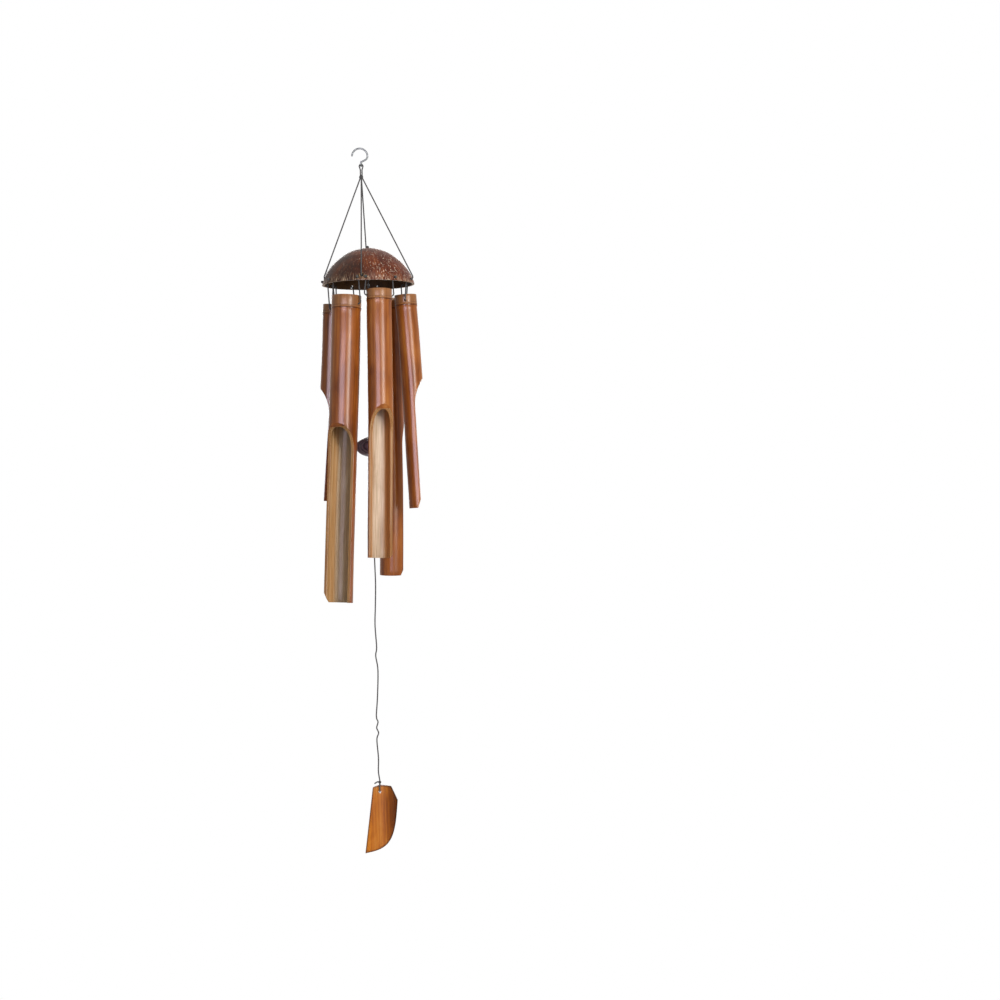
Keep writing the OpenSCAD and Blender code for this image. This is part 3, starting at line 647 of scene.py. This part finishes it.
path = rounded([sailKnot, legs[0], turns[0], turns[1], legs[1], sailKnot], sail["loopBend"])
hungCord("sailLoop", path, "sail_knot", "sail_knot", [(sailKnot, down, cord["knot"])], None)
hungCord("sailTail", smooth([sailKnot + Vector(p) * mm for p in sail["tail"]]), "sail_knot", None, [], None)


# Coconut shell: a spun half, worn into lumps, drilled for its cords
def arc(radius, first, last, count):
    return [(radius * sin(radians(a)), radius * cos(radians(a)))
            for a in (first + (last - first) * k / count for k in range(count + 1))]


def drill(name, mouth, shaft, reach):
    start = 180 - asin(shaft / mouth) * 180 / pi
    return turned(name, arc(mouth, 0, start, 10) + [(shaft, -reach), (0, -reach)], 20)


def drillAll(piece, holes, mouth, shaft):
    bits = []
    for spot, inward in holes:
        bit = drill("drill", mouth, shaft, shell["drill"])
        bit.data.transform(Matrix.Translation(spot) @ down.rotation_difference(inward).to_matrix().to_4x4())
        bits.append(bit)
    pick(bits[0])
    for bit in bits:
        bit.select_set(True)
    bpy.ops.object.join()
    carved(piece, bits[0])


outline, inner = [], []
for k in range(shell["rings"] + 1):
    spot, way = bezier(domeShape, k / shell["rings"])
    outline.append((spot.x, -spot.y))
    inner.append((spot.x - shell["wall"] * way.y, max(-spot.y - shell["wall"] * way.x, -shell["height"])))
half = turned("coconutShell", outline + inner[::-1], shell["steps"])
half.data.transform(Matrix.Translation(shell["top"]))
drillAll(half, [rimKnot(tube, way) for tube in tubes for way in (1, -1)] + [(crownKnot, down)],
         cord["knot"] / 2 + cord["gap"], shell["tubeHole"])
mouths = [domeSpot(angle, shell["cordHoleRise"]) for angle, _ in suspension.values()]
drillAll(half, [(spot, -out) for spot, out in mouths], shell["cordMouth"], shell["cordHole"])
eased(half, shell["bevel"], 40)
depths = []
for vertex in half.data.vertices:
    spot = vertex.co - shell["top"]
    flat = Vector((hypot(spot.x, spot.y), -spot.z))
    near = min((flat - Vector((r, -z))).length for r, z in outline)
    depths.append(max(0, min(1, 1 - near / shell["wall"])))
    lump = sum(noise.noise(spot * scale) * share for scale, share in shell["lumpScales"])
    vertex.co += (spot + Vector((0, 0, shell["height"]))).normalized() * lump * shell["lumps"]
store(half, "wallDepth", "FLOAT", depths)
dressed(half, coconutFinish(shell["top"] + down * shell["core"]), "canopy", "coconut_shell")
print("shell done,", len(half.data.polygons), "faces")


# Bamboo tubes, modelled upright with their tops at the origin and then hung in place
def tubeOutline(tube):
    r, n, length = tube["width"] / 2 * mm, -tube["node"] * mm, tube["length"] * mm
    bore, half = r - tubeForm["wall"], tubeForm["septum"] / 2
    wide, ridge = r + tubeForm["band"], r + tubeForm["ridge"]
    cup = [(0, n + half - 0.8 * mm), (bore * 0.5, n + half - 0.5 * mm), (bore - 1.2 * mm, n + half),
           (bore, n + half + 1.2 * mm), (bore, n / 2), (bore, 0)]
    collar = [(wide, 0), (wide, n / 3), (wide, n + 4 * mm), (wide - 0.1 * mm, n + 2.4 * mm),
              (ridge - 0.15 * mm, n + 1.2 * mm), (ridge, n + 0.7 * mm), (ridge - 0.1 * mm, n + 0.3 * mm),
              (r + 0.1 * mm, n + 0.05 * mm), (r + 0.1 * mm, n - 0.35 * mm), (ridge - 0.2 * mm, n - 0.7 * mm),
              (ridge - 0.25 * mm, n - 1.3 * mm), (r + 0.1 * mm, n - 2.6 * mm), (r - 0.15 * mm, n - 5 * mm)]
    count, plain = int((length + n) / tubeForm["row"]), n - tubeForm["plainFrom"]
    fall = [plain - (length + plain) * k / count for k in range(count + 1)]
    outer = [(r, z) for z in fall]
    inner = [(bore, z) for z in reversed(fall)]
    floor = [(bore, n - half - 1.5 * mm), (bore - 1.5 * mm, n - half), (bore * 0.5, n - half - 0.4 * mm),
             (0, n - half - 0.6 * mm)]
    return cup + collar + outer + inner + floor


def cutCutter(tube):
    r, foot = tube["width"] / 2 * mm, -tube["length"] * mm - tubeForm["cutReach"]
    plane, high, count = tube["share"] * r, tube["curve"] * mm, tubeForm["cutSteps"]
    depth = r - plane
    curve = (high ** 2 + depth ** 2) / (2 * depth)
    end = -tube["whole"] * mm - high
    last = acos(1 - (depth + tubeForm["cutPast"]) / curve)
    line = [(plane + curve * (1 - cos(a)), end + curve * sin(a))
            for a in (last * k / count for k in range(count + 1))]
    far = r + tubeForm["cutReach"]
    return slab("cutter", line + [(far, line[-1][1]), (far, foot), (plane, foot)], 2 * r)


def bevelCutter(tube):
    r, length = tube["width"] / 2 * mm, tube["length"] * mm
    wide, high = tube["bevel"][1] * mm, tube["bevel"][2] * mm
    slope = atan(wide / high)
    way, out = Vector((sin(slope), cos(slope))), Vector((cos(slope), -sin(slope)))
    foot = Vector((r - wide, -length))
    corners = [foot - way * 2 * high, foot + way * 4 * high]
    return slab("cutter", corners + [corners[1] + out * 2 * r, corners[0] + out * 2 * r], 2 * r)


def bambooTube(k, tube):
    r, n, length = tube["width"] / 2 * mm, tube["node"] * mm, tube["length"] * mm
    piece = turned(f"bambooTube{k + 1}", tubeOutline(tube), tubeForm["steps"])
    carved(piece, cutCutter(tube), turnedBy(tube["cut"] - tube["angle"]))
    carved(piece, bevelCutter(tube), turnedBy(tube["bevel"][0] - tube["angle"]))
    bpy.ops.mesh.primitive_cylinder_add(vertices=24, radius=tubeForm["hole"] / 2, depth=4 * r)
    across = Matrix.Translation((0, 0, tubeForm["holeRise"] - n)) @ Matrix.Rotation(pi / 2, 4, "X")
    carved(piece, bpy.context.object, across)
    eased(piece, tubeForm["bevel"], 38)
    places, depths, trough, ripple, bow = [], [], [], tubeForm["ripple"], tubeForm["bow"]
    for vertex in piece.data.vertices:
        x, y, z = vertex.co
        places += [x + k * 0.37, y + k * 0.21, z + n]
        depths.append(max(0, min(1, (hypot(x, y) - r) / tubeForm["wall"] + 1)))
        fade = max(0, min(1, (-z - n - tubeForm["bowFrom"]) / tubeForm["bowFade"]))
        angle = atan2(y, x)
        trough.append(-cos(angle - radians(tube["cut"] - tube["angle"])))
        swell = noise.noise(Vector((cos(angle) * 1.2 + k * 3, sin(angle) * 1.2, z * 16)))
        swell += 0.6 * cos(2 * angle + k)  # a little oval
        vertex.co.x += fade * (cos(angle) * swell * ripple + bow * sin(z / length * 4 + k))
        vertex.co.y += fade * (sin(angle) * swell * ripple + bow * sin(z / length * 5 + 2 * k))
    store(piece, "tubePlace", "FLOAT_VECTOR", places)
    store(piece, "wallDepth", "FLOAT", depths)
    store(piece, "trough", "FLOAT", trough)
    store(piece, "tone", "FLOAT", [tube["tone"]] * len(depths))
    piece.data.transform(tubePlace(tube))
    return dressed(piece, bambooLook, f"tube_{k + 1}", f"bamboo_tube_{k + 1}")


bambooLook = bambooFinish()
for k, tube in enumerate(tubes):
    piece = bambooTube(k, tube)
    print(piece.name, len(piece.data.polygons), "faces")

# Clapper: a turned flat ball with a bead at each mouth of its bore
w, h, bore = clapper["width"] / 2, clapper["height"] / 2, clapper["bore"]
outline = [(bore, h - 1.6 * mm), (bore + 0.5 * mm, h - 0.9 * mm), (bore + 1.6 * mm, h - 0.4 * mm)]
foot = [(r, -z) for r, z in reversed(outline)]
for r, z in ((w * cos(radians(a)), h * sin(radians(a))) for a in range(80, -81, -4)):
    grooved = abs(abs(z) - clapper["grooveRise"] * h) < clapper["grooveHalf"]
    outline.append((r - (clapper["groove"] if grooved else 0), z))
outline += foot
ball = turned("clapperBall", outline + [outline[0]], clapper["steps"])
ball.data.transform(Matrix.Translation(clapperCentre))
dressed(ball, clapperFinish(clapperCentre), "clapper", "clapper")

# Sail: a slice of a bamboo wall, cut to a leaf-like outline
left = -sail["left"] * sail["width"]
right, low = left + sail["width"], sail["holeEdge"] - sail["length"]
bends = [Vector((right, -10 * mm)), Vector((right - 4 * mm, low * 0.61)), Vector((left + 40 * mm, low)),
         Vector((left, low))]
leaf = [(left + 11.5 * mm, 6.5 * mm), (0, sail["holeEdge"]), (right - 9 * mm, sail["holeEdge"] - 1.5 * mm)]
leaf += [tuple(bezier(bends, k / 24)[0]) for k in range(25)]
inR, outR, over = sail["curve"] - sail["wall"], sail["curve"], sail["over"]
rows = [low - over + (sail["length"] + 2 * over) * k / sail["rows"] for k in range(sail["rows"] + 1)]
outline = [(outR, z) for z in rows] + [(inR, z) for z in reversed(rows)]
leafSlice = turned("windSail", outline + [outline[0]], 96)
toWall = Matrix.Translation((0, outR, 0))
carved(leafSlice, slab("cutter", leaf, outR), toWall, "INTERSECT")
bpy.ops.mesh.primitive_cylinder_add(vertices=24, radius=sail["hole"], depth=20 * mm)
carved(leafSlice, bpy.context.object, toWall @ Matrix.Rotation(pi / 2, 4, "X"))
eased(leafSlice, sail["bevel"], 38)
places, depths, border = [], [], []
sides = [(Vector(a), Vector(b)) for a, b in zip(leaf, leaf[1:] + leaf[:1])]
for vertex in leafSlice.data.vertices:
    x, y, z = vertex.co
    places += [x, y + 1.3, z - 0.3]
    spot, near = Vector((x, z)), sail["edgeShadeWidth"]
    for a, b in sides:
        share = geometry.intersect_point_line(spot, a, b)[1]
        near = min(near, (spot - a.lerp(b, max(0, min(1, share)))).length)
    border.append(near / sail["edgeShadeWidth"])  # 0 on the outline, 1 away from it
    depths.append(max(0, min(1, (hypot(x, y) - inR) / sail["wall"])))
    vertex.co.y += sail["wave"] * noise.noise(Vector((x * 30, 4.2, z * 22)))
store(leafSlice, "tubePlace", "FLOAT_VECTOR", places)
store(leafSlice, "wallDepth", "FLOAT", depths)
store(leafSlice, "border", "FLOAT", border)
leafSlice.data.transform(Matrix.Translation(sailHole + Vector((0, sail["wall"] / 2 - outR, 0))))
dressed(leafSlice, sailFinish(), "sail", "sail")
print("clapper and sail done")


# Hook: one bent wire with a rounded tip and a closed eye
def bentWire(hub, radius, first, last):
    count = max(2, int(abs(last - first) / 4))
    return [hub + radius * Vector((cos(radians(a)), 0, sin(radians(a))))
            for a in (first + (last - first) * k / count for k in range(count + 1))]


slant, stemBend = radians(hook["slantAngle"]), hook["stemBend"]
bendHub = Vector((0, 0, hook["wire"] / 2 - hook["bend"]))
backHub = bendHub + Vector((hook["bend"] - hook["return"], 0, 0))
outward, along = Vector((cos(slant), 0, -sin(slant))), Vector((-sin(slant), 0, -cos(slant)))
stemHub = backHub + hook["return"] * outward + along * hook["slant"] + stemBend * outward
eyeHub = stemHub + Vector((-stemBend, hook["eye"], -hook["stem"]))
line = bentWire(bendHub, hook["bend"], 176, 0)
line += bentWire(backHub, hook["return"], -3, -hook["slantAngle"])
line += bentWire(stemHub, stemBend, 180 - hook["slantAngle"], 180)
line += [eyeHub + Vector((0, spot.x, spot.z)) for spot in bentWire(Vector(), hook["eye"], 180, 455)]
first, radius, count = (line[0] - line[1]).normalized(), hook["wire"] / 2, hook["sides"]
tip = [(line[0] + first * radius * (1 - e), [radius * e] * count) for e in (0.35, 0.75, 0.95)]
wire = swept("wireHook", tip + [(spot, [radius] * count) for spot in line], count)
dressed(wire, wireFinish(), "hook", "hook", 50)
print("hook done")
